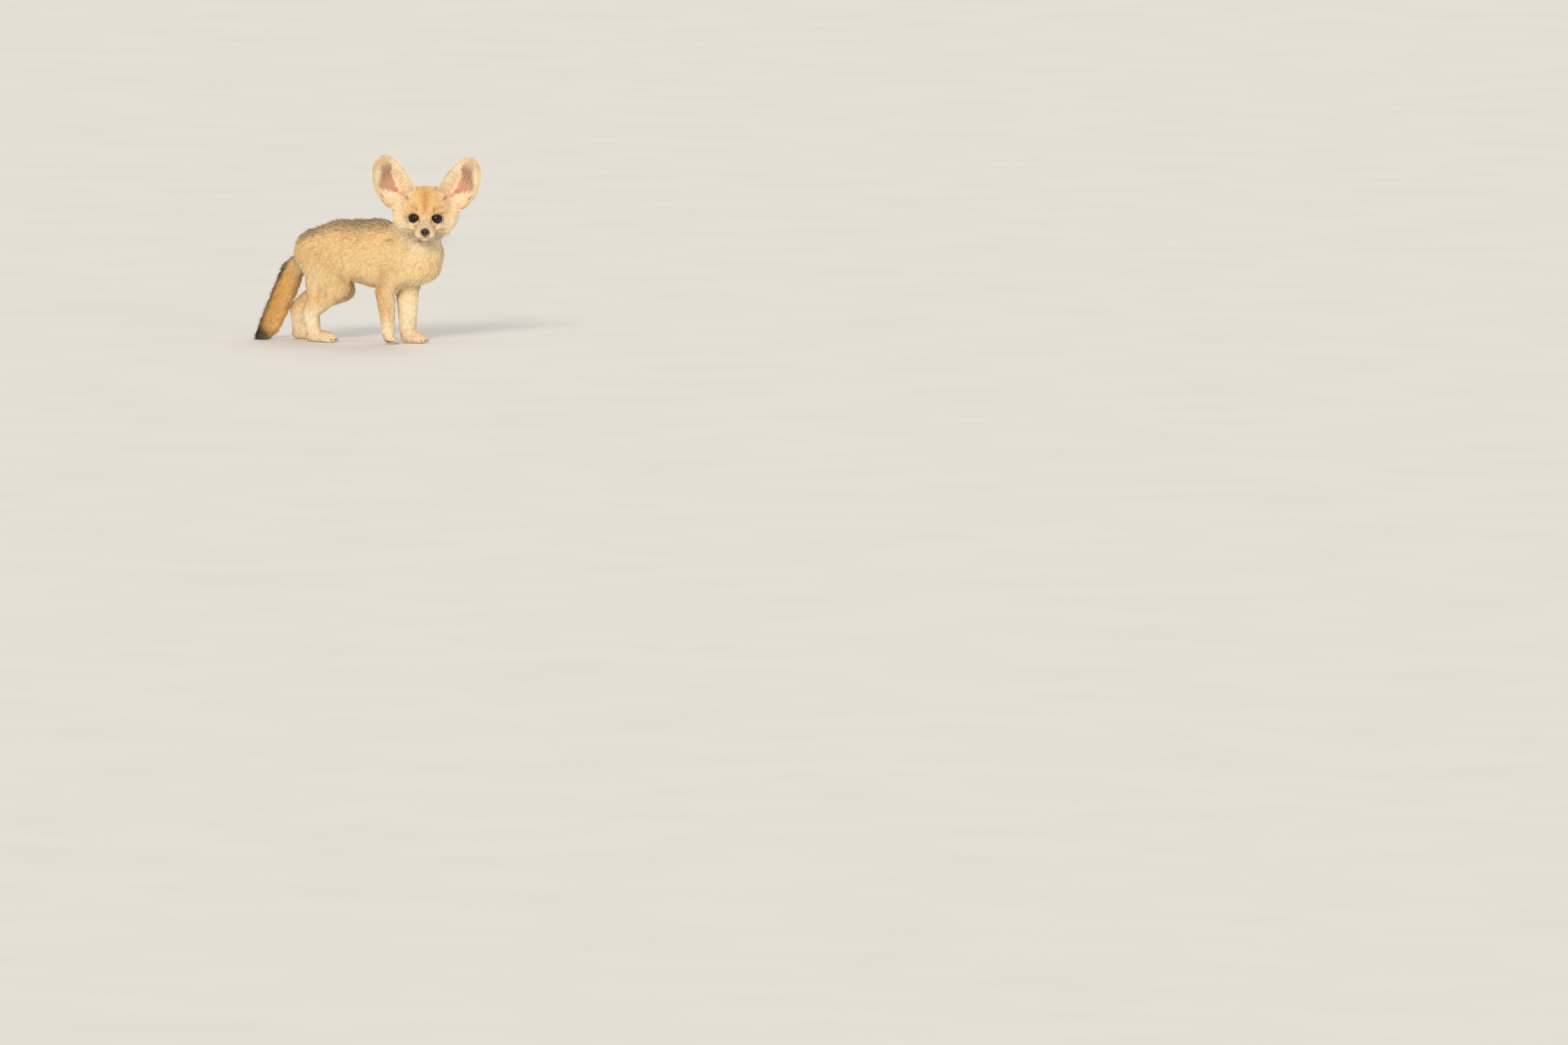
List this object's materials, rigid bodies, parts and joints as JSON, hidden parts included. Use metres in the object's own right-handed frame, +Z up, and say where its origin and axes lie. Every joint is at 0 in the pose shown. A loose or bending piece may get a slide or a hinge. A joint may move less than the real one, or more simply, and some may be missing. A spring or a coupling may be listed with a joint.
{
  "type": "fennec fox figure",
  "caption": "Life-size model of a young fennec fox, standing and looking back over its right shoulder, with big upright ears and a bushy tail that hangs to the ground.",
  "frame": {"origin": "on the ground under the middle of the animal's bounding box", "axes": "+X from the hips towards the chest, +Y to the animal's left, +Z up; the head is turned to the animal's right"},
  "size_m": [0.2936, 0.0916, 0.2331],
  "materials": {
    "coat_body": "soft cream-buff fur",
    "coat_head": "short buff fur",
    "coat_ear": "thin skin with a cream fringe",
    "coat_leg": "short pale fur",
    "coat_tail": "long golden-brown fur",
    "eye": "wet, near-black brown",
    "nose": "moist leathery skin"
  },
  "bodies": {
    "root": {"torso": "coat_body", "neck": "coat_body", "head": "coat_head", "ear_left": "coat_ear", "ear_right": "coat_ear", "eye_left": "eye", "eye_right": "eye", "nose": "nose", "foreleg_left": "coat_leg", "foreleg_right": "coat_leg", "hindleg_left": "coat_leg", "hindleg_right": "coat_leg", "tail": "coat_tail"}
  },
  "joints": []
}
